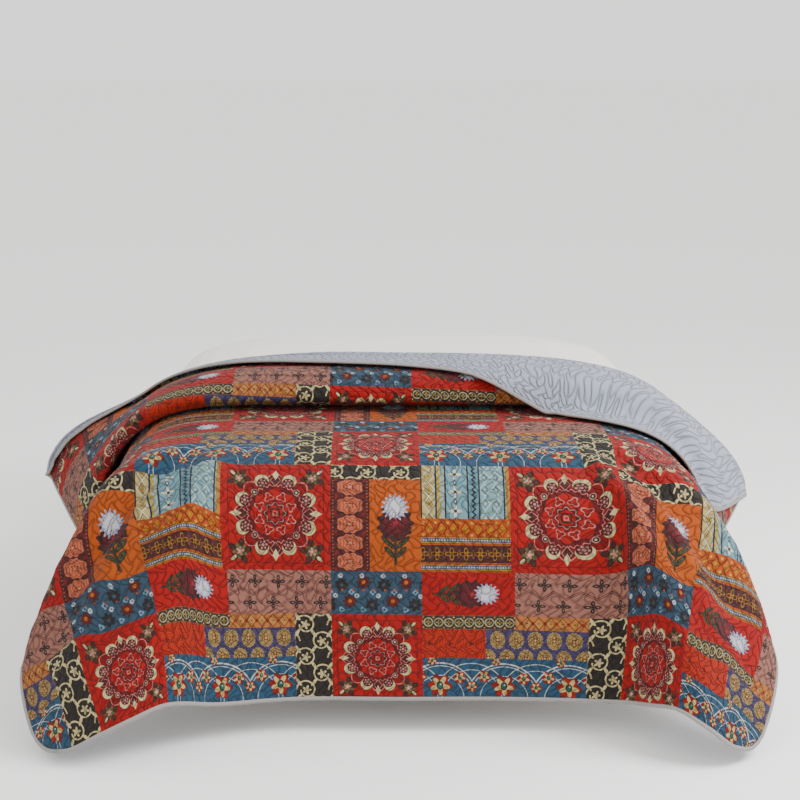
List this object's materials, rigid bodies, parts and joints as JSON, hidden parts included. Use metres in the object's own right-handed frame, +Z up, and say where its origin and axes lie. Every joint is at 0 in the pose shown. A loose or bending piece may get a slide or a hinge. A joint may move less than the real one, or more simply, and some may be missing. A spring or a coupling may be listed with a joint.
{
  "type": "bedspread on bed",
  "caption": "Quilted patchwork-print bedspread with a bound edge, draped over the foot and sides of a plain mattress and base, its head end folded back in a soft roll with one corner turned over.",
  "frame": {"origin": "on the floor under the middle of the bed", "axes": "+X across the bed to the right seen from the foot, +Y towards the head, +Z up"},
  "size_m": [2.2299, 2.2749, 0.8652],
  "materials": {
    "bedspread": "printed quilted cotton",
    "binding": "plain cotton strip",
    "mattress": "plain white cover",
    "bed_base": "painted"
  },
  "bodies": {
    "root": {"bedspread": "bedspread", "binding": "binding", "mattress": "mattress", "bed_base": "bed_base"}
  },
  "joints": []
}
